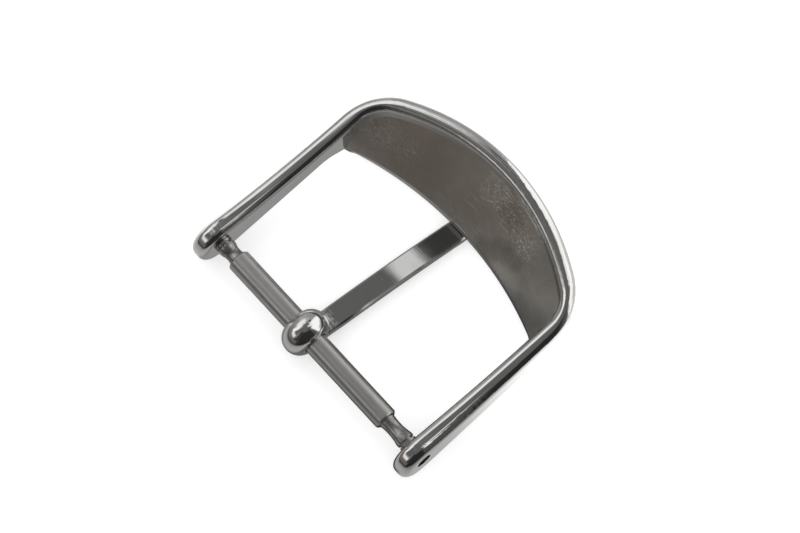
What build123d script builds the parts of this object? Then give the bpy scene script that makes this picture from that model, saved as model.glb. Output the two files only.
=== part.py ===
from build123d import *
import math
import os

# Watch tang buckle for an 18 mm strap, in millimetres.
# X runs along the spring bar, Y from the bar to the bow, Z up to the wrist side.
# The origin is the middle of the bar axis. The buckle lies on its outer side.

# Frame, seen from above
lug_gap = 18.2
arm_width_at_bar = 1.35
arm_width_at_bow = 1.18
bow_reach = 16.96
bow_depth = 5.76
bow_radius = 17.05
corner_radius = 4.3
rim_width = 1.18
inner_corner_radius = 2.1

# Frame, seen from the side
wrist_radius = 38.5
rim_low_place = 2.2
rim_low_height = 1.41
lug_radius = 1.8
lug_centre_place = 0.1
waist_depth = 7.86
waist_height = -0.5
foot_depth = 6.26
waist_fillet = 1.6

# Bow plate, which slopes from the rim down to the strap opening
plate_angle = 50.5
plate_thickness = 0.85
plate_depth = 3.66
plate_flatness = 6.25
plate_back_flatness = 4.8
edge_depth = 4.28
edge_flatness = 5.75
edge_corner_radius = 1.3
edge_height = -1.29
edge_sag_radius = 110.0

# Rounding of the frame
outer_round = 0.58
inner_round = 0.5
edge_round = 0.22

# Spring bar
tube_diameter = 1.6
tube_bore = 1.34
tube_left_gap = 1.45
tube_right_gap = 2.21
mouth_diameter = 1.22
mouth_length = 0.3
mouth_bevel = 0.14
pin_diameter = 1.0
pin_reach = 0.8
pin_nose = 0.2
flange_diameter = 1.26
flange_thickness = 0.2
flange_spacing = 0.16
groove_diameter = 1.0
neck_diameter = 1.04
collar_length = 0.9
head_length = 1.1
coil_wire = 0.2
coil_diameter = 0.96
coil_turns = 9
coil_steps = 4
coil_wire_sides = 4

# Tongue
loop_width = 1.98
loop_place = -1.0
loop_crown_diameter = 3.38
loop_shoulder_diameter = 2.2
blade_width = 1.56
blade_thickness = 0.76
blade_reach = 14.1
blade_crown_radius = 77.0
blade_crown_place = 3.4
blade_crown_height = -0.8
blade_skew = 3.6
blade_edge = 0.12
root_length = 2.6
root_thickness_share = 0.72
tip_taper_length = 1.5
tip_thickness_share = 0.6
tip_corner_radius = 0.5
tip_lean = 20.0
seam_width = 0.09
seam_depth = 0.35

# Clearances
pin_clearance = 0.05
flange_gap = 0.03
slide_clearance = 0.03
loop_clearance = 0.06
coil_gap = 0.02
overrun = 5.0
same_place = 0.02


def bow_outline(half_bar, half_bow, reach, radius, corner):
    """Area inside two arms and a round bow, open to the lug side."""
    start = bow_reach - bow_depth
    lean = (half_bow - half_bar) / start
    back = -lug_radius - overrun
    front = reach + overrun
    sides = Polyline(
        (half_bar + lean * back, back),
        (half_bar + lean * front, front),
        (-half_bar - lean * front, front),
        (-half_bar - lean * back, back),
        close=True,
    )
    area = make_face(sides) & (Pos(0, reach - radius) * Circle(radius))
    corners = area.vertices().filter_by(lambda v: v.Y > start / 2)
    return fillet(corners, corner)


def upright(area):
    """Wall of an outline, well above and below the frame."""
    return extrude(area, bow_reach, both=True)


def slanted(reach, radius):
    """All that lies on the bar side of the sloping bow plate."""
    angle = math.radians(plate_angle)
    slope = (0, -math.cos(angle), -math.sin(angle))
    wide = Pos(0, reach - radius) * Rectangle(2 * lug_gap, 4 * radius)
    area = wide & (Pos(0, reach - radius) * Circle(radius))
    return extrude(area, bow_reach, dir=slope, both=True)


def lug_centre():
    """Middle of the round lug end, which the wrist curve touches."""
    across = rim_low_place - lug_centre_place
    reach = wrist_radius + lug_radius
    return lug_centre_place, rim_low_height + wrist_radius - math.sqrt(reach**2 - across**2)


def side_outline():
    """Side view of the frame: wrist curve, round lug, waist and plate edge."""
    y, z = lug_centre()
    waist = bow_reach - waist_depth
    away = math.hypot(waist - y, waist_height - z)
    aim = math.atan2(waist_height - z, waist - y)
    touch = aim - math.acos(lug_radius / away)
    under = (y + lug_radius * math.cos(touch), z + lug_radius * math.sin(touch))
    end = bow_reach + overrun
    below = Polyline(
        (y, z),
        under,
        (waist, waist_height),
        (bow_reach - foot_depth, edge_height),
        (end, edge_height),
        (end, end),
        (rim_low_place, rim_low_height + wrist_radius),
        close=True,
    )
    area = make_face(below)
    bends = area.vertices().filter_by(lambda v: under[0] < v.X < end and v.Y < 0)
    area = fillet(bends, waist_fillet)
    area = area + Pos(y, z) * Circle(lug_radius)
    wrist = Pos(rim_low_place, rim_low_height + wrist_radius) * Circle(wrist_radius)
    return Plane.YZ * (area - wrist)


def side_block():
    """Side view of the frame as a block wider than the frame."""
    return extrude(side_outline(), lug_gap, both=True)


def wall_edges(body, outline):
    """Edges of a body that run round an upright wall, without its seams."""
    wire = outline.face().outer_wire()
    chosen = []
    for edge in body.edges():
        middle = edge @ 0.5
        along = edge @ 1 - edge @ 0
        seam = math.hypot(along.X, along.Y) < same_place
        if not seam and wire.distance_to(Vector(middle.X, middle.Y, 0)) < same_place:
            chosen.append(edge)
    return chosen


def frame_shell():
    """Outside of the frame without its hollow, round at its outer edges."""
    inside = lug_gap / 2
    outer = bow_outline(inside + arm_width_at_bar, inside + arm_width_at_bow, bow_reach, bow_radius, corner_radius)
    depth = plate_thickness / math.sin(math.radians(plate_angle))
    sloping = slanted(bow_reach - plate_depth + depth, bow_radius + plate_back_flatness)
    shell = (upright(outer) & sloping & side_block()).solid()
    return shell.fillet(outer_round, wall_edges(shell, outer))


def frame_hollow():
    """Space inside the rim, flared where the rim's inner edges are round."""
    reach = bow_reach - rim_width
    radius = bow_radius - rim_width
    rim = bow_outline(lug_gap / 2, lug_gap / 2, reach, radius, inner_corner_radius)
    block = side_block()
    surround = (block - upright(rim)).solid()
    surround = surround.fillet(inner_round, wall_edges(surround, rim))
    return block - surround


def round_plate_edge(body, opening):
    """Round the edge of the plate that faces the wrist."""
    arms = lug_gap / 2 - same_place
    floor = edge_height + edge_round
    chosen = []
    for edge in wall_edges(body, opening):
        middle = edge @ 0.5
        if abs(middle.X) < arms and middle.Z > floor:
            chosen.append(edge)
    return body.fillet(edge_round, chosen)


def below_plate():
    """Space under the plate, whose lower edge rises towards both arms."""
    start = bow_reach * 3 / 2 - waist_depth
    drum = Pos(0, start, edge_height + edge_sag_radius) * Cylinder(edge_sag_radius, 2 * bow_reach, rotation=(90, 0, 0))
    return Pos(0, start, edge_height) * Box(2 * lug_gap, bow_reach, 2 * lug_radius) - drum


def buckle_frame():
    """Frame in one piece: two arms, the bow and its sloping plate."""
    reach, radius = bow_reach - edge_depth, bow_radius + edge_flatness
    opening = bow_outline(lug_gap / 2, lug_gap / 2, reach, radius, edge_corner_radius)
    body = frame_shell() - (frame_hollow() & slanted(bow_reach - plate_depth, bow_radius + plate_flatness))
    body = round_plate_edge((body - upright(opening)).solid(), opening) - below_plate()
    hole = Cylinder(pin_diameter / 2 + pin_clearance, 2 * lug_gap, rotation=(0, 90, 0))
    return body - hole


def rod(start, end, diameter):
    """Cylinder along the spring bar axis between two places."""
    middle = (start + end) / 2
    return Pos(middle, 0, 0) * Cylinder(diameter / 2, end - start, rotation=(0, 90, 0))


def turned(lines):
    """Solid turned about the spring bar axis from lines of place and radius."""
    return revolve(make_face(lines), axis=Axis.X)


def tube_ends():
    """Places of the tube's two ends along the bar."""
    return tube_left_gap - lug_gap / 2, lug_gap / 2 - tube_right_gap


def spring_bar_tube():
    """Tube of the spring bar, with both mouths drawn in round its pins."""
    left, right = tube_ends()
    tube = rod(left, right, tube_diameter)
    tube = chamfer(tube.edges().filter_by(GeomType.CIRCLE), mouth_bevel)
    tube = tube - rod(left + mouth_length, right - mouth_length, tube_bore)
    return tube - rod(left - overrun, right + overrun, mouth_diameter)


def pin_neck(start, end):
    """Waisted stretch of a pin from its flange to the tube's mouth."""
    root = (start, flange_diameter / 2)
    waist = ((start + end) / 2, neck_diameter / 2)
    mouth = (end, mouth_diameter / 2 - slide_clearance)
    curve = ThreePointArc(root, waist, mouth)
    return turned([curve, Polyline(mouth, (end, 0), (start, 0), root)])


def spring_bar_pin(gap):
    """Sprung pin of the left arm, for a given gap between that arm and the tube."""
    arm = -lug_gap / 2
    mouth = arm + gap
    outer_flange = arm + flange_gap
    inner_flange = outer_flange + flange_thickness + flange_spacing
    root = inner_flange + flange_thickness
    inside = mouth + collar_length
    tip = rod(arm - pin_reach, outer_flange + flange_thickness, pin_diameter)
    tip = chamfer(tip.edges().filter_by(GeomType.CIRCLE).sort_by(Axis.X)[0], pin_nose)
    pin = tip + rod(outer_flange, outer_flange + flange_thickness, flange_diameter)
    pin = pin + rod(outer_flange, root, groove_diameter)
    pin = pin + rod(inner_flange, root, flange_diameter)
    pin = pin + pin_neck(root, mouth)
    pin = pin + rod(mouth, inside, mouth_diameter - 2 * slide_clearance)
    return pin + rod(inside, inside + head_length, tube_bore - 2 * slide_clearance)


def coil_ends():
    """Places of the spring's first and last middle point, between the two heads."""
    left, right = tube_ends()
    inset = collar_length + head_length + coil_gap + coil_wire
    return left + inset, right - inset


def coil_point(turn):
    """Middle of the spring's wire after a number of turns."""
    start, end = coil_ends()
    angle = 2 * math.pi * turn
    radius = coil_diameter / 2
    place = start + (end - start) * turn / coil_turns
    return Vector(place, radius * math.cos(angle), radius * math.sin(angle))


def coil_direction(turn):
    """Direction of the spring's wire after a number of turns."""
    start, end = coil_ends()
    angle = 2 * math.pi * turn
    lead = (end - start) / coil_turns / (math.pi * coil_diameter)
    return Vector(lead, -math.sin(angle), math.cos(angle)).normalized()


def biarc(first, leaving, last, arriving):
    """Two arcs that join two points and keep the direction at both."""
    span = last - first
    along = span.dot(leaving + arriving)
    bend = 2 * (1 - leaving.dot(arriving))
    reach = (math.sqrt(along**2 + bend * span.dot(span)) - along) / bend
    join = (first + last + (leaving - arriving) * reach) * 0.5
    into = Edge.make_tangent_arc(first, leaving, join)
    return [into, Edge.make_tangent_arc(join, into % 1, last)]


def spring_bar_spring():
    """Coil spring between the two pin heads, as one unbroken wire."""
    arcs = []
    for step in range(coil_turns * coil_steps):
        first, last = step / coil_steps, (step + 1) / coil_steps
        arcs += biarc(coil_point(first), coil_direction(first), coil_point(last), coil_direction(last))
    section = Plane(coil_point(0), z_dir=coil_direction(0)) * RegularPolygon(coil_wire / 2, coil_wire_sides)
    return sweep(section, path=Wire(arcs))


def coil_room():
    """Least gap between neighbouring turns of the spring, measured on points."""
    steps = range(coil_steps * coil_steps)
    near = [(coil_point(1 + step / coil_steps**2) - coil_point(0)).length for step in steps]
    return min(near) - coil_wire


def loop_barrel(extra):
    """Round outside of the tongue's loop, swollen by a given amount."""
    end = loop_width / 2 + extra
    shoulder = loop_shoulder_diameter / 2 + extra
    crown = loop_crown_diameter / 2 + extra
    arc = ThreePointArc((-end, shoulder), (0, crown), (end, shoulder))
    return turned([arc, Polyline((end, shoulder), (end, 0), (-end, 0), (-end, shoulder))])


def blade_point(place, depth):
    """Point of the blade's side view, a depth below its bowed top face."""
    radius = blade_crown_radius - depth
    along = place - blade_crown_place
    return place, blade_crown_height - blade_crown_radius + math.sqrt(radius**2 - along**2)


def blade():
    """Bowed blade of the tongue, with bevelled edges and a thinned tip."""
    middle = blade_reach / 2
    taper = blade_reach - tip_taper_length
    root = blade_thickness * root_thickness_share
    tip = blade_thickness * tip_thickness_share
    top = ThreePointArc(blade_point(0, 0), blade_point(middle, 0), blade_point(blade_reach, 0))
    nose = Polyline(
        blade_point(blade_reach, 0), blade_point(blade_reach, tip), blade_point(taper, blade_thickness)
    )
    below = ThreePointArc(
        blade_point(taper, blade_thickness),
        blade_point(middle, blade_thickness),
        blade_point(root_length, blade_thickness),
    )
    back = Polyline(blade_point(root_length, blade_thickness), blade_point(0, root), blade_point(0, 0))
    body = extrude(Plane.YZ * make_face([top, nose, below, back]), blade_width / 2, both=True)
    corners = body.edges().filter_by(Axis.Z, tolerance=tip_lean).sort_by(Axis.Y)[-2:]
    body = fillet(corners, tip_corner_radius)
    sides = body.edges().filter_by(lambda edge: edge.length > middle)
    return chamfer(sides, blade_edge)


def tongue():
    """Tongue: a blade with its loop, which turns on the spring bar tube."""
    swollen = loop_barrel(seam_width) - loop_barrel(0)
    seam_floor = blade_crown_height - seam_depth
    above = Pos(0, loop_crown_diameter / 2, seam_floor + loop_width / 2)
    groove = swollen & (above * Box(blade_width * 2, loop_crown_diameter, loop_width))
    body = loop_barrel(0) + Rot(0, 0, -blade_skew) * blade() - groove
    bore = rod(-overrun, overrun, tube_diameter + 2 * loop_clearance)
    return Pos(loop_place, 0, 0) * (body - bore)


pieces = {
    "buckle_frame": buckle_frame(),
    "tongue": tongue(),
    "spring_bar_tube": spring_bar_tube(),
    "spring_bar_pin_left": spring_bar_pin(tube_left_gap),
    "spring_bar_pin_right": mirror(spring_bar_pin(tube_right_gap), about=Plane.YZ),
    "spring_bar_spring": spring_bar_spring(),
}
os.makedirs("parts", exist_ok=True)
for name, piece in pieces.items():
    export_step(piece, f"parts/{name}.step")
print("Least gap between the spring's turns in mm:", round(coil_room(), 2))
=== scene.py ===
"""Looks of a steel watch tang buckle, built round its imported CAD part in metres."""
from __future__ import annotations

import logging
import math
from collections.abc import Callable
from dataclasses import dataclass, field
from enum import Enum

import bpy
from mathutils import Matrix, Vector

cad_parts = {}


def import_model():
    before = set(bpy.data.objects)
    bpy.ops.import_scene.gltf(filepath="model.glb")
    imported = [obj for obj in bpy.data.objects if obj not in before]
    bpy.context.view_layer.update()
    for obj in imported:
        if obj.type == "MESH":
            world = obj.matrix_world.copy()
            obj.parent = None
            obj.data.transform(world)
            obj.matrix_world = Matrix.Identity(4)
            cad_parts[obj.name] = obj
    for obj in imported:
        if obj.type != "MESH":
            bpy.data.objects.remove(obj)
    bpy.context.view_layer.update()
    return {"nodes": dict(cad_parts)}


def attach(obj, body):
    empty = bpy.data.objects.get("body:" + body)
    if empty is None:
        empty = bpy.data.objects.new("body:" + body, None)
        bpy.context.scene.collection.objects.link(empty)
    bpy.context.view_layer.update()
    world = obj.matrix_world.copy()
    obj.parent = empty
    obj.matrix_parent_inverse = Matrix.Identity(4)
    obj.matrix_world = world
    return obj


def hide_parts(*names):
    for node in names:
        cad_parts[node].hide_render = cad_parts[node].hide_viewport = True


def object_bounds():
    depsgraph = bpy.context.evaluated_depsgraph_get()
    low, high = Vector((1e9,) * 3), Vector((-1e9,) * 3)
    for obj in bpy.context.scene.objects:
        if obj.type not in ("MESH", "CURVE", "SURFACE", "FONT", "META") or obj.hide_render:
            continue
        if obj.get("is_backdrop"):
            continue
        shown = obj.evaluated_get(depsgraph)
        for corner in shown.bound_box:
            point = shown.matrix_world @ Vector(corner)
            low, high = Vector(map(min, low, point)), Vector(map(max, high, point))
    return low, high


LOG = logging.getLogger("tang_buckle")
MM = 0.001
WHITE = (1.0, 1.0, 1.0, 1.0)

Tree = bpy.types.NodeTree
Socket = bpy.types.NodeSocket
Piece = bpy.types.Object
Pair = tuple[float, float]
Triple = tuple[float, float, float]


class Body(Enum):
    """The CAD bodies that pieces ride on."""

    FRAME = "frame"
    SPRING_BAR = "spring_bar"
    LEFT_PIN = "left_pin"
    RIGHT_PIN = "right_pin"
    TONGUE = "tongue"


class Slot(Enum):
    """The record's material slots, which are passed along but not given to the new meshes."""

    POLISHED = "polished_steel"
    SATIN = "satin_steel"
    TURNED = "turned_steel"


class Easing(Enum):
    """How a ramp runs between its two ends."""

    STRAIGHT = "LINEAR"
    SOFT = "SMOOTHSTEP"


def metres(lengths: Pair) -> Pair:
    """Turn two lengths in millimetres into metres."""
    return lengths[0] * MM, lengths[1] * MM


# Node helpers


def add_node(tree: Tree, kind: str, **values: object) -> bpy.types.Node:
    """Add a shader node and set its options and input values.

    Args:
        tree: The node tree that gets the node.
        kind: The node's type, without the ShaderNode prefix.
        values: Options by attribute name, or input values by socket name.

    Returns:
        The new node.
    """
    node = tree.nodes.new("ShaderNode" + kind)
    for name, value in values.items():
        if hasattr(node, name):
            setattr(node, name, value)
        else:
            node.inputs[name.replace("_", " ")].default_value = value
    return node


def feed(tree: Tree, source: Socket | float | tuple[float, ...], target: Socket) -> None:
    """Feed an input from another socket, or with a number or a colour.

    Args:
        tree: The node tree.
        source: The socket, the number or the colour.
        target: The input.
    """
    if isinstance(source, Socket):
        tree.links.new(source, target)
    else:
        target.default_value = source


def work_out(tree: Tree, operation: str, *values: Socket | float) -> Socket:
    """Work out a value from others.

    Args:
        tree: The node tree.
        operation: The Math node's operation.
        values: The values, as sockets or numbers.

    Returns:
        The socket with the result.
    """
    node = add_node(tree, "Math", operation=operation)
    for value, target in zip(values, node.inputs):
        feed(tree, value, target)
    return node.outputs["Value"]


def measure(tree: Tree, operation: str, place: Socket, other: Triple | Vector) -> Socket:
    """Measure a place against another place or a direction.

    Args:
        tree: The node tree.
        operation: The Vector Math node's operation.
        place: The place's socket.
        other: The other place or the direction.

    Returns:
        The socket with the measure.
    """
    node = add_node(tree, "VectorMath", operation=operation)
    tree.links.new(place, node.inputs[0])
    node.inputs[1].default_value = other
    return node.outputs["Value"]


def ramp(
    tree: Tree,
    value: Socket,
    ends: Pair = (0.0, 1.0),
    levels: Pair = (0.0, 1.0),
    easing: Easing = Easing.STRAIGHT,
) -> Socket:
    """Run from one level to another while a value runs from one end to the other.

    Args:
        tree: The node tree.
        value: The value's socket.
        ends: The values at which the ramp starts and stops.
        levels: The levels there.
        easing: How it runs between them.

    Returns:
        The socket with the level.
    """
    node = add_node(tree, "MapRange", interpolation_type=easing.value)
    node.inputs["From Min"].default_value, node.inputs["From Max"].default_value = ends
    node.inputs["To Min"].default_value, node.inputs["To Max"].default_value = levels
    tree.links.new(value, node.inputs["Value"])
    return node.outputs["Result"]


def between_angles(tree: Tree, angle: Socket, ends: Pair, soft: float) -> Socket:
    """Find where an angle lies between two others.

    Args:
        tree: The node tree.
        angle: The angle's socket, in radians.
        ends: The two angles, in degrees.
        soft: How far the mask fades to either side of them, in degrees.

    Returns:
        The socket with a mask that is 1 between them.
    """
    middle = math.radians(sum(ends) / 2.0)
    half = math.radians((ends[1] - ends[0]) / 2.0)
    fade = math.radians(soft)
    turned = work_out(tree, "SUBTRACT", angle, middle)
    wrapped = work_out(tree, "WRAP", turned, math.pi, -math.pi)
    away = work_out(tree, "ABSOLUTE", wrapped)
    return ramp(tree, away, (half + fade, half - fade), easing=Easing.SOFT)


def mix_value(tree: Tree, mask: Socket, low: Socket | float, high: Socket | float) -> Socket:
    """Turn a mask from 0 to 1 into a value between two others.

    Args:
        tree: The node tree.
        mask: The mask's socket.
        low: The value where the mask is 0.
        high: The value where the mask is 1.

    Returns:
        The socket with the value.
    """
    node = add_node(tree, "Mix")
    for name, source in (("Factor", mask), ("A", low), ("B", high)):
        feed(tree, source, node.inputs[name])
    return node.outputs["Result"]


def mix_colour(tree: Tree, mask: Socket, low: Socket | Triple, high: Triple) -> Socket:
    """Turn a mask from 0 to 1 into a colour between two others.

    Args:
        tree: The node tree.
        mask: The mask's socket.
        low: The colour where the mask is 0, or its socket.
        high: The colour where the mask is 1.

    Returns:
        The socket with the colour.
    """
    node = add_node(tree, "Mix", data_type="RGBA")
    tree.links.new(mask, node.inputs["Factor"])
    feed(tree, low if isinstance(low, Socket) else (*low, 1.0), node.inputs["A"])
    feed(tree, (*high, 1.0), node.inputs["B"])
    return node.outputs["Result"]


def when_mirrored(tree: Tree, plain: Socket, mirrored: Socket) -> Socket:
    """Choose between two shaders by whether the steel mirrors them.

    Args:
        tree: The node tree.
        plain: The shader that the camera and the other surfaces see.
        mirrored: The shader that shows in the steel.

    Returns:
        The socket with the shader.
    """
    rays = add_node(tree, "LightPath")
    choose = add_node(tree, "MixShader")
    tree.links.new(rays.outputs["Is Glossy Ray"], choose.inputs["Fac"])
    tree.links.new(plain, choose.inputs[1])
    tree.links.new(mirrored, choose.inputs[2])
    return choose.outputs["Shader"]


def new_group(name: str, inputs: dict[str, float], output: str) -> Tree:
    """Start a shader node group with named sockets.

    Args:
        name: The group's name.
        inputs: Input values by socket name.
        output: The name of the value that it puts out.

    Returns:
        The group, with its input and output nodes in place.
    """
    group = bpy.data.node_groups.new(name, "ShaderNodeTree")
    for label, value in inputs.items():
        socket = group.interface.new_socket(label, in_out="INPUT", socket_type="NodeSocketFloat")
        socket.default_value = value
    group.interface.new_socket(output, in_out="OUTPUT", socket_type="NodeSocketFloat")
    group.nodes.new("NodeGroupInput")
    group.nodes.new("NodeGroupOutput")
    return group


def use_group(tree: Tree, group: Tree, **values: float) -> Socket:
    """Place a node group in a material with its own values, and give the socket that it puts out."""
    return add_node(tree, "Group", node_tree=group, **values).outputs[0]


@dataclass(frozen=True)
class Strokes:
    """One run of fine marks: how it is turned, in radians, and how its pattern is squeezed."""

    turned: Triple
    squeezed: Triple


HAIRLINES = (
    Strokes((0.12, 0.2, 0.4), (220.0, 9000.0, 4000.0)),
    Strokes((0.39, 0.2, 1.3), (308.0, 12600.0, 4000.0)),
    Strokes((0.75, 0.2, 2.5), (176.0, 7200.0, 4000.0)),
)
NICKS = (
    Strokes((0.5, 0.4, 0.7), (0.16, 1.0, 1.0)),
    Strokes((1.2, 0.4, 1.68), (0.22, 1.0, 1.0)),
    Strokes((2.0, 0.4, 2.8), (0.3, 1.0, 1.0)),
)


@dataclass
class Effects:
    """Shader node groups for wear that more than one finish shows.

    Each pair of ends is the noise level at which a mark starts and the level at which it is full.
    """

    hairline_ends: Pair = (0.66, 0.74)
    smudge_ends: Pair = (0.42, 0.72)
    nick_ends: Pair = (0.6, 0.64)
    scratches: Tree = field(init=False)
    smudges: Tree = field(init=False)
    grain: Tree = field(init=False)
    nicks: Tree = field(init=False)

    def __post_init__(self) -> None:
        """Build the groups."""
        self.scratches = self.build_scratches()
        self.smudges = self.build_smudges()
        self.grain = self.build_grain()
        self.nicks = self.build_nicks()

    def crossing_marks(
        self, group: Tree, runs: tuple[Strokes, ...], scale: Socket, ends: Pair, **noise: float
    ) -> Socket:
        """Lay runs of fine marks over each other.

        Args:
            group: The group that is built.
            runs: The runs.
            scale: The socket with the marks' scale.
            ends: The noise levels at which a mark starts and is full.
            noise: The noise's own values.

        Returns:
            The socket with a mask that is 1 in a mark.
        """
        place = add_node(group, "TexCoord")
        total: Socket | float = 0.0
        for run in runs:
            spin = add_node(group, "Mapping", Rotation=run.turned, Scale=run.squeezed)
            group.links.new(place.outputs["Object"], spin.inputs["Vector"])
            marks = add_node(group, "TexNoise", **noise)
            group.links.new(spin.outputs["Vector"], marks.inputs["Vector"])
            group.links.new(scale, marks.inputs["Scale"])
            total = work_out(group, "MAXIMUM", ramp(group, marks.outputs["Fac"], ends), total)
        return total

    def build_scratches(self) -> Tree:
        """Build fine hairline scratches that run in crossing directions.

        Returns:
            A group whose mask is 1 in a scratch.
        """
        group = new_group("hairline_scratches", {"Density": 1.0, "Amount": 0.5}, "Mask")
        source = group.nodes["Group Input"]
        density = source.outputs["Density"]
        lines = self.crossing_marks(group, HAIRLINES, density, self.hairline_ends, Detail=2.0, Roughness=0.6)
        mask = work_out(group, "MULTIPLY", lines, source.outputs["Amount"])
        group.links.new(mask, group.nodes["Group Output"].inputs["Mask"])
        return group

    def build_smudges(self) -> Tree:
        """Build soft cloudy patches, as handling leaves on steel.

        Returns:
            A group whose mask is 1 where the steel is dullest.
        """
        group = new_group("handling_smudges", {"Scale": 300.0, "Amount": 1.0}, "Mask")
        source = group.nodes["Group Input"]
        place = add_node(group, "TexCoord")
        cloud = add_node(group, "TexNoise", Detail=5.0, Roughness=0.62, Distortion=0.4)
        group.links.new(place.outputs["Object"], cloud.inputs["Vector"])
        group.links.new(source.outputs["Scale"], cloud.inputs["Scale"])
        patches = ramp(group, cloud.outputs["Fac"], self.smudge_ends, easing=Easing.SOFT)
        mask = work_out(group, "MULTIPLY", patches, source.outputs["Amount"])
        group.links.new(mask, group.nodes["Group Output"].inputs["Mask"])
        return group

    def build_grain(self) -> Tree:
        """Build a fine directional grain, as a belt or a tool leaves.

        Returns:
            A group whose height runs from 0 to 1.
        """
        inputs = {"Along X": 300.0, "Along Y": 300.0, "Along Z": 300.0}
        group = new_group("tool_grain", inputs, "Height")
        source = group.nodes["Group Input"]
        place = add_node(group, "TexCoord")
        scales = add_node(group, "CombineXYZ")
        for axis, label in zip("XYZ", inputs):
            group.links.new(source.outputs[label], scales.inputs[axis])
        stretch = add_node(group, "VectorMath", operation="MULTIPLY")
        group.links.new(place.outputs["Object"], stretch.inputs[0])
        group.links.new(scales.outputs["Vector"], stretch.inputs[1])
        noise = add_node(group, "TexNoise", Scale=1.0, Detail=3.0, Roughness=0.7)
        group.links.new(stretch.outputs["Vector"], noise.inputs["Vector"])
        group.links.new(noise.outputs["Fac"], group.nodes["Group Output"].inputs["Height"])
        return group

    def build_nicks(self) -> Tree:
        """Build short crossing nicks and specks, as knocks and tools leave.

        Returns:
            A group whose mask is 1 in a nick.
        """
        group = new_group("nicks_and_specks", {"Scale": 5000.0}, "Mask")
        scale = group.nodes["Group Input"].outputs["Scale"]
        noise = {"Detail": 3.0, "Roughness": 0.65, "Distortion": 1.2}
        mask = self.crossing_marks(group, NICKS, scale, self.nick_ends, **noise)
        group.links.new(mask, group.nodes["Group Output"].inputs["Mask"])
        return group


@dataclass(frozen=True)
class Patch:
    """A round patch on a piece, in millimetres, which fades out round its core: wear where it scuffs, painted
    shade where it darkens.
    """

    place: Triple
    radius: float
    amount: float
    core_share: float = 0.2


@dataclass(frozen=True)
class SteelFinish:
    """A steel finish, from mirror polish to turned.

    Scales are counts to the metre, and the bump distance is in metres. Its painted shade patches darken the
    colour where shade falls.
    """

    name: str
    colour: Triple
    worn_colour: Triple
    roughness: float
    dull_roughness: float
    scratch_amount: float = 0.35
    scratch_density: float = 1.0
    smudge_scale: float = 260.0
    smudge_amount: float = 0.55
    grain: Triple = (500.0, 500.0, 500.0)
    grain_height: float = 0.02
    bump_distance: float = 1.2e-6
    scuff_colour: Triple = (0.86, 0.85, 0.83)
    scuff_scale: float = 8000.0
    scuffs: tuple[Patch, ...] = ()
    # Painted shade: dark patches whose colour stands in for shade and for the tang's dark reflection.
    painted_shade_colour: Triple = (0.34, 0.32, 0.30)
    painted_shade_patches: tuple[Patch, ...] = ()

    def build(self, effects: Effects) -> bpy.types.Material:
        """Build the finish as a material.

        Args:
            effects: The wear groups.

        Returns:
            The material.
        """
        material = bpy.data.materials.new(self.name)
        material.use_nodes = True
        tree = material.node_tree
        shader = tree.nodes["Principled BSDF"]
        shader.inputs["Metallic"].default_value = 1.0
        smudged = use_group(tree, effects.smudges, Scale=self.smudge_scale, Amount=self.smudge_amount)
        scratches = {"Density": self.scratch_density, "Amount": self.scratch_amount}
        scratched = use_group(tree, effects.scratches, **scratches)
        along_x, along_y, along_z = self.grain
        grain = use_group(tree, effects.grain, Along_X=along_x, Along_Y=along_y, Along_Z=along_z)
        nicked = use_group(tree, effects.nicks, Scale=self.scuff_scale)
        scuffed = work_out(tree, "MULTIPLY", self.inside(tree, self.scuffs), nicked)
        dented = work_out(tree, "MAXIMUM", scratched, scuffed)
        worn = work_out(tree, "MAXIMUM", smudged, dented)
        rough = ramp(tree, worn, levels=(self.roughness, self.dull_roughness))
        tree.links.new(rough, shader.inputs["Roughness"])
        colour = mix_colour(tree, smudged, self.colour, self.worn_colour)
        # Painted shade: the colour darkens inside the painted shade patches.
        colour = mix_colour(tree, self.inside(tree, self.painted_shade_patches), colour, self.painted_shade_colour)
        colour = mix_colour(tree, scuffed, colour, self.scuff_colour)
        tree.links.new(colour, shader.inputs["Base Color"])
        ridges = work_out(tree, "MULTIPLY", grain, self.grain_height)
        height = work_out(tree, "SUBTRACT", ridges, dented)
        bump = add_node(tree, "Bump", Strength=1.0, Distance=self.bump_distance)
        tree.links.new(height, bump.inputs["Height"])
        tree.links.new(bump.outputs["Normal"], shader.inputs["Normal"])
        return material

    def inside(self, tree: Tree, patches: tuple[Patch, ...]) -> Socket:
        """Find where a piece is inside its patches, of wear and of painted shade alike.

        Args:
            tree: The material's node tree.
            patches: The patches.

        Returns:
            The socket with a mask that fades out towards each patch's edge.
        """
        place = add_node(tree, "TexCoord")
        total = add_node(tree, "Value").outputs["Value"]
        total.default_value = 0.0
        for patch in patches:
            away = measure(tree, "DISTANCE", place.outputs["Object"], Vector(patch.place) * MM)
            ends = metres((patch.radius, patch.radius * patch.core_share))
            total = work_out(tree, "MAXIMUM", total, ramp(tree, away, ends, (0.0, patch.amount), Easing.SOFT))
        return total


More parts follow.
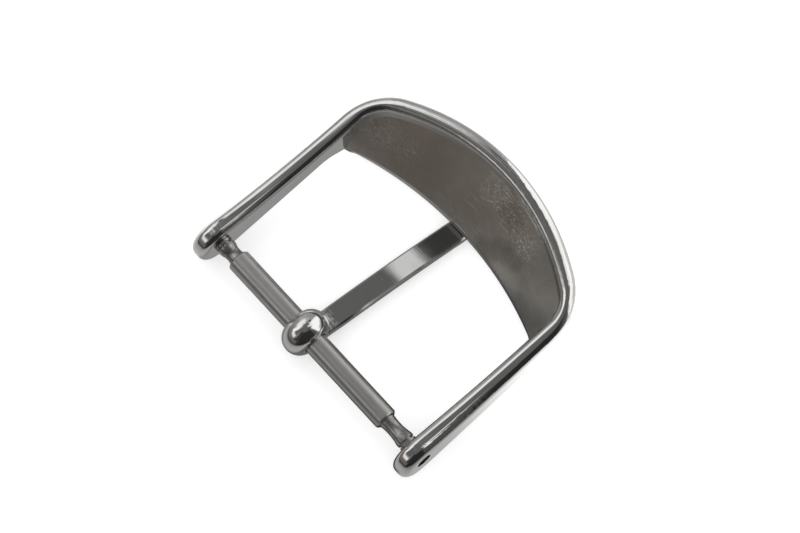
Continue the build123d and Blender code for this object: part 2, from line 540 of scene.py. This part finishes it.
FRAME_FINISH = SteelFinish(
    name="mirror_polished_steel",
    colour=(0.66, 0.655, 0.64),
    worn_colour=(0.60, 0.59, 0.57),
    roughness=0.08,
    dull_roughness=0.17,
    scuffs=(
        Patch((-9.1, 1.0, 0.3), 1.6, 0.5),
        Patch((-9.1, 3.2, 0.1), 1.9, 0.3),
        Patch((-9.9, -1.0, 0.6), 1.3, 0.35),
        Patch((-8.6, 12.9, 2.3), 1.3, 0.5),
    ),
)
PLATE_FINISH_AND_SHADE = SteelFinish(
    name="pressed_plate_steel_with_painted_shade",
    colour=(0.58, 0.56, 0.53),
    worn_colour=(0.44, 0.42, 0.39),
    roughness=0.17,
    dull_roughness=0.3,
    scratch_amount=0.6,
    scratch_density=1.3,
    smudge_scale=420.0,
    smudge_amount=0.8,
    grain=(900.0, 900.0, 900.0),
    grain_height=1.2,
    bump_distance=2.0e-6,
    scuff_scale=15000.0,
    scuffs=(
        Patch((-7.9, 12.8, 1.2), 2.4, 0.75),
        Patch((-6.2, 13.3, 1.0), 2.2, 0.55),
        Patch((0.4, 15.3, 2.4), 2.2, 0.7),
        Patch((2.4, 14.9, 2.1), 2.4, 0.5),
        Patch((4.3, 14.3, 1.8), 1.9, 0.6),
        Patch((7.0, 12.8, 0.9), 2.2, 0.35),
        Patch((0.0, 14.2, 1.2), 8.0, 0.16),
    ),
    # Painted shade and reflection: a dark trail running right from the tang's tip, and darker patches round
    # where it rests low on the plate.
    painted_shade_colour=(0.22, 0.21, 0.20),
    painted_shade_patches=(
        Patch((2.0, 12.8, -0.5), 1.5, 0.6),
        Patch((2.8, 13.2, 0.1), 1.4, 0.6),
        Patch((3.6, 13.4, 0.5), 1.4, 0.65),
        Patch((4.5, 13.4, 0.7), 1.3, 0.6),
        Patch((5.2, 13.3, 0.8), 1.1, 0.4),
        Patch((2.2, 14.8, 2.1), 1.6, 0.45),
        Patch((6.5, 12.7, 0.3), 5.0, 0.4),
        Patch((-4.0, 12.4, -0.5), 4.5, 0.25),
        Patch((0.0, 13.0, -0.5), 4.0, 0.25),
    ),
)
LOOP_FINISH = SteelFinish(
    name="polished_loop_steel",
    colour=(0.66, 0.655, 0.64),
    worn_colour=(0.60, 0.59, 0.57),
    roughness=0.13,
    dull_roughness=0.24,
    scratch_amount=0.2,
    smudge_scale=500.0,
    smudge_amount=0.4,
)
BLADE_FINISH = SteelFinish(
    name="brushed_blade_steel",
    colour=(0.64, 0.635, 0.62),
    worn_colour=(0.56, 0.55, 0.53),
    roughness=0.035,
    dull_roughness=0.14,
    scratch_amount=0.15,
    scratch_density=1.1,
    smudge_scale=380.0,
    smudge_amount=0.45,
    grain=(6000.0, 400.0, 6000.0),
    grain_height=0.06,
    scuff_scale=9000.0,
    scuffs=(
        Patch((-1.6, 1.9, -0.8), 0.8, 1.0),
        Patch((-1.0, 2.0, -0.7), 0.8, 1.0),
        Patch((-0.3, 1.9, -0.8), 0.7, 1.0),
    ),
)
TUBE_FINISH = SteelFinish(
    name="satin_tube_steel",
    colour=(0.43, 0.425, 0.41),
    worn_colour=(0.39, 0.38, 0.365),
    roughness=0.3,
    dull_roughness=0.38,
    scratch_amount=0.15,
    scratch_density=1.2,
    smudge_scale=500.0,
    smudge_amount=0.6,
    grain=(260.0, 5200.0, 5200.0),
    grain_height=0.1,
    bump_distance=1.0e-6,
)
PIN_FINISH = SteelFinish(
    name="turned_pin_steel",
    colour=(0.36, 0.35, 0.335),
    worn_colour=(0.15, 0.145, 0.14),
    roughness=0.26,
    dull_roughness=0.42,
    scratch_amount=0.3,
    smudge_scale=1400.0,
    smudge_amount=0.9,
    grain=(16000.0, 900.0, 900.0),
    grain_height=0.6,
    bump_distance=2.0e-6,
)
SPRING_FINISH = SteelFinish(
    name="drawn_spring_steel",
    colour=(0.50, 0.49, 0.47),
    worn_colour=(0.40, 0.39, 0.37),
    roughness=0.28,
    dull_roughness=0.4,
    scratch_amount=0.2,
    smudge_scale=900.0,
    smudge_amount=0.6,
    grain=(4000.0, 4000.0, 4000.0),
    grain_height=0.3,
)


def set_material(piece: Piece, material: bpy.types.Material) -> None:
    """Give a piece one material."""
    piece.data.materials.clear()
    piece.data.materials.append(material)


def set_second_material(
    piece: Piece, material: bpy.types.Material, belongs: Callable[[bpy.types.MeshPolygon], bool]
) -> None:
    """Give the faces that belong together a material of their own.

    Args:
        piece: The piece, which has its first material.
        material: The second material.
        belongs: Says whether a face gets it.
    """
    piece.data.materials.append(material)
    for polygon in piece.data.polygons:
        if belongs(polygon):
            polygon.material_index = 1


def activate(piece: Piece) -> None:
    """Select one object alone and make it the active one.

    Args:
        piece: The object.
    """
    bpy.ops.object.select_all(action="DESELECT")
    piece.select_set(True)
    bpy.context.view_layer.objects.active = piece


@dataclass(frozen=True)
class RoundFace:
    """A round face of the CAD solid: a circle in a plane, drawn out along a direction, in millimetres."""

    centre: Triple
    radius: float
    along: Triple = (0.0, 0.0, 1.0)
    plane: Triple = (0.0, 0.0, 1.0)

    def normal(self, point: Vector, near: float) -> Vector | None:
        """Give the face's exact normal at a point.

        Args:
            point: The point, in metres.
            near: How far from the face the point may lie, in millimetres.

        Returns:
            The normal, or None where the point isn't on the face.
        """
        along, plane = Vector(self.along).normalized(), Vector(self.plane).normalized()
        offset = point / MM - Vector(self.centre)
        across = offset - along * (offset.dot(plane) / along.dot(plane))
        if abs(across.length - self.radius) > near:
            return None
        return plane.cross(across).cross(along).normalized()


@dataclass(frozen=True)
class Wall:
    """An upright wall of the frame, up one arm and round the bow, in millimetres.

    Attributes:
        half: Half the width between the arms' walls at the bar.
        lean: How much that half grows for each step away from the bar.
        reach: How far the bow reaches from the bar.
        bow: The bow's radius.
        corner: The corner's radius.
        rounds: How many times the corner's place is worked out, each time nearer.
    """

    half: float
    lean: float
    reach: float
    bow: float
    corner: float
    rounds: int = 12

    def round_corner(self, side: float) -> RoundFace:
        """Find the round corner between the arm's wall and the bow's wall.

        Args:
            side: 1 on the right and -1 on the left.

        Returns:
            The corner's face.
        """
        slant = math.hypot(1.0, self.lean)
        middle = self.reach - self.corner
        for _ in range(self.rounds):
            across = self.half + self.lean * middle - self.corner * slant
            middle = self.reach - self.bow + math.sqrt((self.bow - self.corner) ** 2 - across**2)
        return RoundFace((side * across, middle, 0.0), self.corner)

    def round_bow(self) -> RoundFace:
        """Give the bow's own round wall."""
        return RoundFace((0.0, self.reach - self.bow, 0.0), self.bow)


@dataclass
class SmoothShell:
    """A CAD solid's skin, joined up and shaded smooth so that it can be polished.

    Attributes:
        node: The CAD node that it takes the place of.
        name: Its own name.
        faces: The round faces whose normals are known exactly.
        weld: How far apart two corners may lie and still be joined, in metres.
        crease: The angle up to which two facets are shaded as one, in degrees.
        near: How far from a round face a point on it may lie, in millimetres.
        agree: The least cosine between a round face's normal and its facet's.
        turned_below: Faces with a smaller Y than this count as turned, in millimetres.
        slip: The most that a turned face's normal points sideways round the bar.
        flat_above: A turned face whose facets point along the bar by more than this is flat.
        least_around: The least of a normal across the bar that can be made even.
        ring_scale: How many steps to the metre tell one ring from the next.
    """

    node: str
    name: str
    faces: tuple[RoundFace, ...] = ()
    weld: float = 2e-7
    crease: float = 26.0
    near: float = 0.002
    agree: float = 0.93
    turned_below: float = -100.0
    slip: float = 0.2
    flat_above: float = 0.9
    least_around: float = 0.1
    ring_scale: float = 1e7

    def without_slip(self, normal: Vector, point: Vector) -> Vector:
        """Take out what a turned face's normal slips sideways round the bar's axis.

        Args:
            normal: The normal as shaded so far.
            point: Where it stands, in metres.

        Returns:
            The normal without the slip, or as it was where the face isn't turned.
        """
        sideways = Vector((0.0, -point.z, point.y)).normalized()
        slip = normal.dot(sideways)
        if point.y > self.turned_below * MM or abs(slip) > self.slip:
            return normal
        return (normal - sideways * slip).normalized()

    def find_rings(self, mesh: bpy.types.Mesh) -> list[list[int]]:
        """Find the rings of corners that a turned piece's faces share.

        Args:
            mesh: The welded skin.

        Returns:
            A list of loop indices for each ring and each side of it.
        """
        rings: dict[tuple[int, ...], list[int]] = {}
        for polygon in mesh.polygons:
            for loop, index in zip(polygon.loop_indices, polygon.vertices):
                point = mesh.vertices[index].co
                outward = Vector((0.0, point.y, point.z))
                sideways = Vector((0.0, -point.z, point.y)).normalized()
                if point.y > self.turned_below * MM or abs(polygon.normal.dot(sideways)) > self.slip:
                    continue
                flat = abs(polygon.normal.x) > self.flat_above
                side = 0 if flat else int(math.copysign(1.0, polygon.center.x - point.x))
                inward = int(polygon.normal.dot(outward) < 0.0)
                place = (round(point.x * self.ring_scale), round(outward.length * self.ring_scale))
                rings.setdefault((*place, inward, side), []).append(loop)
        return list(rings.values())

    def even_rings(self, mesh: bpy.types.Mesh, normals: list[Vector]) -> None:
        """Give each ring of a turned face one tilt along the bar, so that its facets don't show.

        Args:
            mesh: The welded skin.
            normals: The normals, one for each corner, which are changed in place.
        """
        for loops in self.find_rings(mesh):
            tilt = sum(normals[loop].x for loop in loops) / len(loops)
            for loop in loops:
                around = Vector((0.0, normals[loop].y, normals[loop].z))
                if around.length > self.least_around:
                    around = around.normalized() * math.sqrt(max(0.0, 1.0 - tilt * tilt))
                    normals[loop] = Vector((tilt, around.y, around.z))

    def true_normals(self, piece: Piece) -> None:
        """Give the round faces their exact normals, so that they mirror cleanly.

        Args:
            piece: The welded skin.
        """
        mesh = piece.data
        known = []
        for vertex in mesh.vertices:
            found = (face.normal(vertex.co, self.near) for face in self.faces)
            known.append([normal for normal in found if normal])
        normals = []
        for corner, loop in zip(mesh.corner_normals, mesh.loops):
            normals.append(self.without_slip(corner.vector, mesh.vertices[loop.vertex_index].co))
        self.even_rings(mesh, normals)
        for polygon in mesh.polygons:
            for loop, index in zip(polygon.loop_indices, polygon.vertices):
                best = self.agree
                for normal in known[index]:
                    match = normal.dot(polygon.normal)
                    if abs(match) > best:
                        best = abs(match)
                        normals[loop] = normal if match > 0.0 else -normal
        mesh.normals_split_custom_set([tuple(normal) for normal in normals])

    def build(self, nodes: dict[str, Piece], body: Body, slot: Slot) -> Piece:
        """Build the skin in place of its CAD node.

        Args:
            nodes: The CAD nodes by name.
            body: The body that it rides on.
            slot: The record's material slot; it is not used.

        Returns:
            The new piece.
        """
        piece = bpy.data.objects.new(self.name, nodes[self.node].data.copy())
        bpy.context.scene.collection.objects.link(piece)
        activate(piece)
        bpy.ops.object.mode_set(mode="EDIT")
        bpy.ops.mesh.select_all(action="SELECT")
        bpy.ops.mesh.remove_doubles(threshold=self.weld)
        bpy.ops.mesh.normals_make_consistent(inside=False)
        bpy.ops.object.mode_set(mode="OBJECT")
        bpy.ops.mesh.customdata_custom_splitnormals_clear()
        bpy.ops.object.shade_smooth_by_angle(angle=math.radians(self.crease))
        weighted = piece.modifiers.new("even_normals", "WEIGHTED_NORMAL")
        weighted.keep_sharp = True
        bpy.ops.object.modifier_apply(modifier=weighted.name)
        self.true_normals(piece)
        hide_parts(self.node)
        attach(piece, body.value)
        return piece


@dataclass
class BuckleFrame:
    """The frame: two arms, the bow and its sloping plate, in millimetres and degrees."""

    half_outside: float = 10.45
    lean_outside: float = -0.01518
    half_inside: float = 9.1
    bow_reach: float = 16.96
    bow_radius: float = 17.05
    rim_width: float = 1.18
    corner_radius: float = 4.3
    inner_corner_radius: float = 2.1
    wrist_radius: float = 38.5
    wrist_centre: Pair = (2.2, 39.91)
    lug_centre: Pair = (0.1, -0.3353)
    lug_radius: float = 1.8
    plate_angle: float = 50.5
    plate_thickness: float = 0.85
    plate_reach: float = 13.3
    plate_radius: float = 23.3
    plate_back_radius: float = 21.85
    edge_reach: float = 12.68
    edge_radius: float = 22.8
    plate_start: float = 10.5
    plate_agree: float = 0.93

    def round_faces(self) -> tuple[RoundFace, ...]:
        """List the round faces whose normals are known exactly.

        Returns:
            The plate's two faces, the upright walls, the wrist curve, the lugs and the corners.
        """
        angle = math.radians(self.plate_angle)
        slope = (0.0, -math.cos(angle), -math.sin(angle))
        back_reach = self.plate_reach + self.plate_thickness / math.sin(angle)
        inner_reach, inner_bow = self.bow_reach - self.rim_width, self.bow_radius - self.rim_width
        walls = (
            Wall(self.half_outside, self.lean_outside, self.bow_reach, self.bow_radius, self.corner_radius),
            Wall(self.half_inside, 0.0, inner_reach, inner_bow, self.inner_corner_radius),
        )
        along_bar = (1.0, 0.0, 0.0)
        faces = [
            RoundFace((0.0, self.plate_reach - self.plate_radius, 0.0), self.plate_radius, slope),
            RoundFace((0.0, back_reach - self.plate_back_radius, 0.0), self.plate_back_radius, slope),
            *(wall.round_bow() for wall in walls),
            RoundFace((0.0, self.edge_reach - self.edge_radius, 0.0), self.edge_radius),
            RoundFace((0.0, *self.wrist_centre), self.wrist_radius, along_bar, along_bar),
            RoundFace((0.0, *self.lug_centre), self.lug_radius, along_bar, along_bar),
        ]
        for side in (-1.0, 1.0):
            faces += [wall.round_corner(side) for wall in walls]
        return tuple(faces)

    def on_plate(self, polygon: bpy.types.MeshPolygon) -> bool:
        """Say whether a face is on the plate's sloping top.

        Args:
            polygon: The face.

        Returns:
            Whether it is.
        """
        angle = math.radians(self.plate_angle)
        facing = Vector((0.0, -math.sin(angle), math.cos(angle)))
        return polygon.normal.dot(facing) > self.plate_agree and polygon.center.y > self.plate_start * MM

    def build(self, nodes: dict[str, Piece], effects: Effects) -> list[Piece]:
        """Build and dress the frame.

        Args:
            nodes: The CAD nodes by name.
            effects: The wear groups.

        Returns:
            The frame alone.
        """
        shell = SmoothShell("buckle_frame", "buckle_frame_polished", self.round_faces())
        piece = shell.build(nodes, Body.FRAME, Slot.POLISHED)
        set_material(piece, FRAME_FINISH.build(effects))
        set_second_material(piece, PLATE_FINISH_AND_SHADE.build(effects), self.on_plate)
        return [piece]


@dataclass
class Tongue:
    """The tongue: a blade with its loop, in millimetres and degrees."""

    place: float = -1.0
    skew: float = 3.6
    crown_radius: float = 77.0
    crown_place: float = 3.4
    crown_height: float = -0.8
    loop_end: float = 1.72
    loop_turned: float = 0.9

    def crown(self) -> RoundFace:
        """Find the blade's bowed top face, whose normals are known exactly.

        Returns:
            The face.
        """
        turn = Matrix.Rotation(math.radians(-self.skew), 3, "Z")
        centre = turn @ Vector((0.0, self.crown_place, self.crown_height - self.crown_radius))
        axis = tuple(turn @ Vector((1.0, 0.0, 0.0)))
        return RoundFace((centre.x + self.place, centre.y, centre.z), self.crown_radius, axis, axis)

    def on_blade(self, polygon: bpy.types.MeshPolygon) -> bool:
        """Say whether a face is on the blade, clear of the loop."""
        return polygon.center.y > self.loop_end * MM

    def build(self, nodes: dict[str, Piece], effects: Effects) -> list[Piece]:
        """Build and dress the tongue.

        Args:
            nodes: The CAD nodes by name.
            effects: The wear groups.

        Returns:
            The tongue alone.
        """
        shell = SmoothShell("tongue", "tongue_polished", (self.crown(),), turned_below=self.loop_turned)
        piece = shell.build(nodes, Body.TONGUE, Slot.POLISHED)
        set_material(piece, LOOP_FINISH.build(effects))
        set_second_material(piece, BLADE_FINISH.build(effects), self.on_blade)
        return [piece]


@dataclass
class SpringBar:
    """The spring bar: tube, two pins and the spring inside, all turned round the bar's axis.

    Attributes:
        turned_below: Faces with a smaller Y than this count as turned, in millimetres. All of them do.
        mouth_crease: The angle up to which the tube's mouths are shaded as one with it, in degrees.
    """

    turned_below: float = 100.0
    mouth_crease: float = 60.0

    def build(self, nodes: dict[str, Piece], effects: Effects) -> list[Piece]:
        """Build and dress the spring bar.

        Args:
            nodes: The CAD nodes by name.
            effects: The wear groups.

        Returns:
            The tube, the left and the right pin, and the spring.
        """
        turned_steel = PIN_FINISH.build(effects)
        shell = SmoothShell(
            node="spring_bar_tube",
            name="spring_bar_tube_satin",
            crease=self.mouth_crease,
            turned_below=self.turned_below,
        )
        tube = shell.build(nodes, Body.SPRING_BAR, Slot.SATIN)
        set_material(tube, TUBE_FINISH.build(effects))
        pieces = [tube]
        for side, body in (("left", Body.LEFT_PIN), ("right", Body.RIGHT_PIN)):
            node = f"spring_bar_pin_{side}"
            shell = SmoothShell(node, f"{node}_turned", turned_below=self.turned_below)
            pin = shell.build(nodes, body, Slot.TURNED)
            set_material(pin, turned_steel)
            pieces.append(pin)
        spring = nodes["spring_bar_spring"]
        set_material(spring, SPRING_FINISH.build(effects))
        return [*pieces, spring]


@dataclass
class Camera:
    """The camera at the photograph's viewing angle, with its lengths in millimetres.

    Attributes:
        right: The picture's right, as a direction.
        up: The picture's up.
        back: The direction from the buckle to the camera.
        distance: How far away the camera is.
        offset_right: How far to the right of the picture's middle the bar's middle shows.
        offset_up: How far above the picture's middle it shows.
        lens: The focal length.
        sensor_width: The sensor's width.
        clip: The nearest and the farthest distance that is drawn.
    """

    right: Triple = (0.6669, 0.7417, 0.0714)
    up: Triple = (-0.7127, 0.6070, 0.3515)
    back: Triple = (0.2174, -0.2853, 0.9335)
    distance: float = 260.0
    offset_right: float = -5.425
    offset_up: float = -4.950
    lens: float = 181.7
    sensor_width: float = 36.0
    clip: Pair = (10.0, 20000.0)

    def build(self) -> None:
        """Add the camera and make it the scene's own."""
        right, up, back = (Vector(v).normalized() for v in (self.right, self.up, self.back))
        place = (back * self.distance - right * self.offset_right - up * self.offset_up) * MM
        data = bpy.data.cameras.new("camera")
        data.sensor_width = self.sensor_width
        data.lens = self.lens
        data.clip_start, data.clip_end = metres(self.clip)
        camera = bpy.data.objects.new("camera", data)
        turn = Matrix((right, up, back)).transposed().to_4x4()
        camera.matrix_world = Matrix.Translation(place) @ turn
        bpy.context.scene.collection.objects.link(camera)
        bpy.context.scene.camera = camera


@dataclass(frozen=True)
class Panel:
    """A patch of the studio's sky between two azimuths and two elevations, in degrees.

    Azimuth 0 looks along the strap's free end, and 90 to the buckle's right.
    """

    azimuths: Pair
    elevations: Pair
    level: float
    soft_across: float = 2.0
    soft_up: float = 2.0
    tint: Triple = (1.0, 1.0, 1.0)


@dataclass
class Studio:
    """Pale paper floor, and a soft studio sky that only the steel mirrors.

    Places on the paper are in millimetres. Where the steel mirrors it, the paper is lit towards
    the bow, less so far behind it, dim towards the bar, dimmer still far to the right and in front,
    and shaded inside the buckle.
    """

    floor_size: float = 140.0
    floor_colour: float = 0.86
    floor_roughness: float = 0.9
    floor_gloss: float = 0.1
    floor_glow: float = 0.42
    lit_slope: Triple = (-0.3, 0.95, 0.0)
    lit_ends: Pair = (-2.0, 9.0)
    lit_level: float = 1.4
    dim_level: float = 0.52
    far_right: Pair = (11.0, 21.0)
    far_front: Pair = (-6.0, -21.0)
    far_share: float = 0.08
    behind: Pair = (17.0, 24.0)
    behind_share: float = 0.5
    inside_arms: Pair = (10.2, 9.0)
    inside_bow: Pair = (15.5, 14.3)
    inside_bar: Pair = (-3.4, -2.2)
    inside_level: float = 0.36
    inside_share: float = 0.2
    inside_fade: Pair = (-8.0, 6.0)
    base_level: float = 0.025
    panels: tuple[Panel, ...] = (
        Panel((-180.0, 180.0), (62.0, 91.0), 0.155, 2.0, 5.0),
        Panel((58.0, 76.0), (-30.0, 71.0), 0.1, 3.0, 3.0),
        Panel((150.0, 167.0), (0.0, 60.0), 0.05, 4.0, 4.0),
        Panel((184.0, 208.0), (4.0, 26.0), 0.22, 5.0, 5.0),
        Panel((172.0, 192.0), (26.0, 60.0), 0.3, 5.0, 6.0),
        Panel((161.0, 224.0), (-32.0, 14.0), 0.185, 6.0, 4.0, (1.0, 0.87, 0.76)),
        Panel((206.0, 252.0), (-22.0, 26.0), 0.24, 6.0, 5.0, (1.0, 0.95, 0.89)),
        Panel((228.0, 262.0), (28.0, 44.0), 0.5, 6.0, 6.0),
        Panel((228.0, 258.0), (42.0, 71.0), 1.3, 6.0, 6.0),
        Panel((246.0, 296.0), (-22.0, 22.0), 0.32, 6.0, 5.0),
        Panel((250.0, 280.0), (16.0, 36.0), 0.35, 6.0, 6.0),
        Panel((276.0, 300.0), (14.0, 38.0), 0.55, 6.0, 6.0),
        Panel((248.0, 306.0), (36.0, 69.0), 1.15, 6.0, 6.0),
        Panel((184.0, 214.0), (32.0, 63.0), 0.14, 5.0, 5.0),
        Panel((186.0, 218.0), (19.0, 34.0), 1.1, 5.0, 5.0),
        Panel((214.0, 234.0), (24.0, 62.0), 1.4, 6.0, 6.0),
        Panel((-64.0, -50.0), (-12.0, 36.0), 0.5, 5.0, 5.0),
        Panel((-54.0, -13.0), (-14.0, 60.0), 0.38, 2.5, 2.5),
        Panel((-54.0, -34.0), (34.0, 60.0), 0.6, 4.0, 6.0),
        Panel((-15.0, 60.0), (-4.0, 58.0), 1.4, 2.5, 3.0),
        Panel((-15.0, 38.0), (54.0, 67.0), 1.25, 2.0, 3.0),
        Panel((12.0, 40.0), (60.0, 80.0), 1.1, 8.0, 6.0),
        Panel((10.0, 45.0), (2.0, 16.0), 0.6, 4.0, 3.0),
        Panel((-34.0, -14.0), (48.0, 61.0), 0.05, 1.5, 1.5),
        Panel((-34.0, -20.0), (61.2, 64.4), 0.85, 2.0, 0.5),
    )

    def build(self) -> None:
        """Build the floor and the sky."""
        self.build_floor()
        self.build_sky()

    def build_floor(self) -> None:
        """Build the floor under the lowest point of the object."""
        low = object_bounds()[0][2]
        bpy.ops.mesh.primitive_plane_add(size=self.floor_size * MM, location=(0.0, 0.0, low))
        floor = bpy.context.active_object
        floor.name = "floor"
        set_material(floor, self.paper())
        floor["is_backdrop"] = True

    def paper(self) -> bpy.types.Material:
        """Build the floor's white paper.

        Returns:
            The material.
        """
        material = bpy.data.materials.new("white_paper")
        material.use_nodes = True
        tree = material.node_tree
        shader = tree.nodes["Principled BSDF"]
        shader.inputs["Base Color"].default_value = (self.floor_colour,) * 3 + (1.0,)
        shader.inputs["Roughness"].default_value = self.floor_roughness
        shader.inputs["Specular IOR Level"].default_value = self.floor_gloss
        shader.inputs["Emission Color"].default_value = WHITE
        rays = add_node(tree, "LightPath")
        glow = work_out(tree, "MULTIPLY", rays.outputs["Is Camera Ray"], self.floor_glow)
        tree.links.new(glow, shader.inputs["Emission Strength"])
        mirrored = add_node(tree, "Emission")
        tree.links.new(self.mirrored_level(tree), mirrored.inputs["Color"])
        seen = when_mirrored(tree, shader.outputs["BSDF"], mirrored.outputs["Emission"])
        tree.links.new(seen, tree.nodes["Material Output"].inputs["Surface"])
        return material

    def mirrored_level(self, tree: Tree) -> Socket:
        """Work out how bright the paper shows in the steel, from the place on it alone.

        Args:
            tree: The paper's node tree.

        Returns:
            The socket with the level.
        """
        place = add_node(tree, "TexCoord").outputs["Object"]
        split = add_node(tree, "SeparateXYZ")
        tree.links.new(place, split.inputs["Vector"])
        right, beyond = split.outputs["X"], split.outputs["Y"]
        dim: Socket | float = self.dim_level
        for value, ends in ((right, self.far_right), (beyond, self.far_front)):
            dim = work_out(tree, "MULTIPLY", ramp(tree, value, metres(ends), (1.0, self.far_share)), dim)
        slope = measure(tree, "DOT_PRODUCT", place, self.lit_slope)
        lit = ramp(tree, slope, metres(self.lit_ends), easing=Easing.SOFT)
        level = mix_value(tree, lit, dim, self.lit_level)
        behind = ramp(tree, beyond, metres(self.behind), (1.0, self.behind_share))
        outside = work_out(tree, "MULTIPLY", level, behind)
        across = work_out(tree, "ABSOLUTE", right)
        mask: Socket | float = 1.0
        for value, ends in ((across, self.inside_arms), (beyond, self.inside_bow), (beyond, self.inside_bar)):
            mask = work_out(tree, "MULTIPLY", ramp(tree, value, metres(ends), easing=Easing.SOFT), mask)
        levels = (self.inside_level, self.inside_level * self.inside_share)
        inside = ramp(tree, right, metres(self.inside_fade), levels)
        return mix_value(tree, mask, outside, inside)

    def build_sky(self) -> None:
        """Build the world: even white light, and a dim room with bright panels where it is mirrored."""
        world = bpy.data.worlds.new("studio")
        bpy.context.scene.world = world
        world.use_nodes = True
        tree = world.node_tree
        tree.nodes.clear()
        place = add_node(tree, "TexCoord")
        split = add_node(tree, "SeparateXYZ")
        tree.links.new(place.outputs["Generated"], split.inputs["Vector"])
        turn = work_out(tree, "ARCTAN2", split.outputs["X"], split.outputs["Y"])
        rise = work_out(tree, "ARCSINE", split.outputs["Z"])
        colour: Socket | Triple = (self.base_level,) * 3
        for panel in self.panels:
            across = between_angles(tree, turn, panel.azimuths, panel.soft_across)
            upwards = between_angles(tree, rise, panel.elevations, panel.soft_up)
            mask = work_out(tree, "MULTIPLY", across, upwards)
            colour = mix_colour(tree, mask, colour, tuple(panel.level * part for part in panel.tint))
        room = add_node(tree, "Background")
        tree.links.new(colour, room.inputs["Color"])
        even = add_node(tree, "Background", Color=WHITE, Strength=1.0)
        light = when_mirrored(tree, even.outputs["Background"], room.outputs["Background"])
        output = add_node(tree, "OutputWorld")
        tree.links.new(light, output.inputs["Surface"])


def main() -> None:
    """Build the scene piece by piece."""
    logging.basicConfig(level=logging.INFO, format="%(message)s")
    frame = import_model()
    nodes = frame["nodes"]
    effects = Effects()
    for assembly in (BuckleFrame(), Tongue(), SpringBar()):
        for piece in assembly.build(nodes, effects):
            LOG.info("%s: %d faces", piece.name, len(piece.data.polygons))
    Studio().build()
    Camera().build()
    bpy.context.scene.view_settings.view_transform = "Standard"


if __name__ == "__main__":
    main()
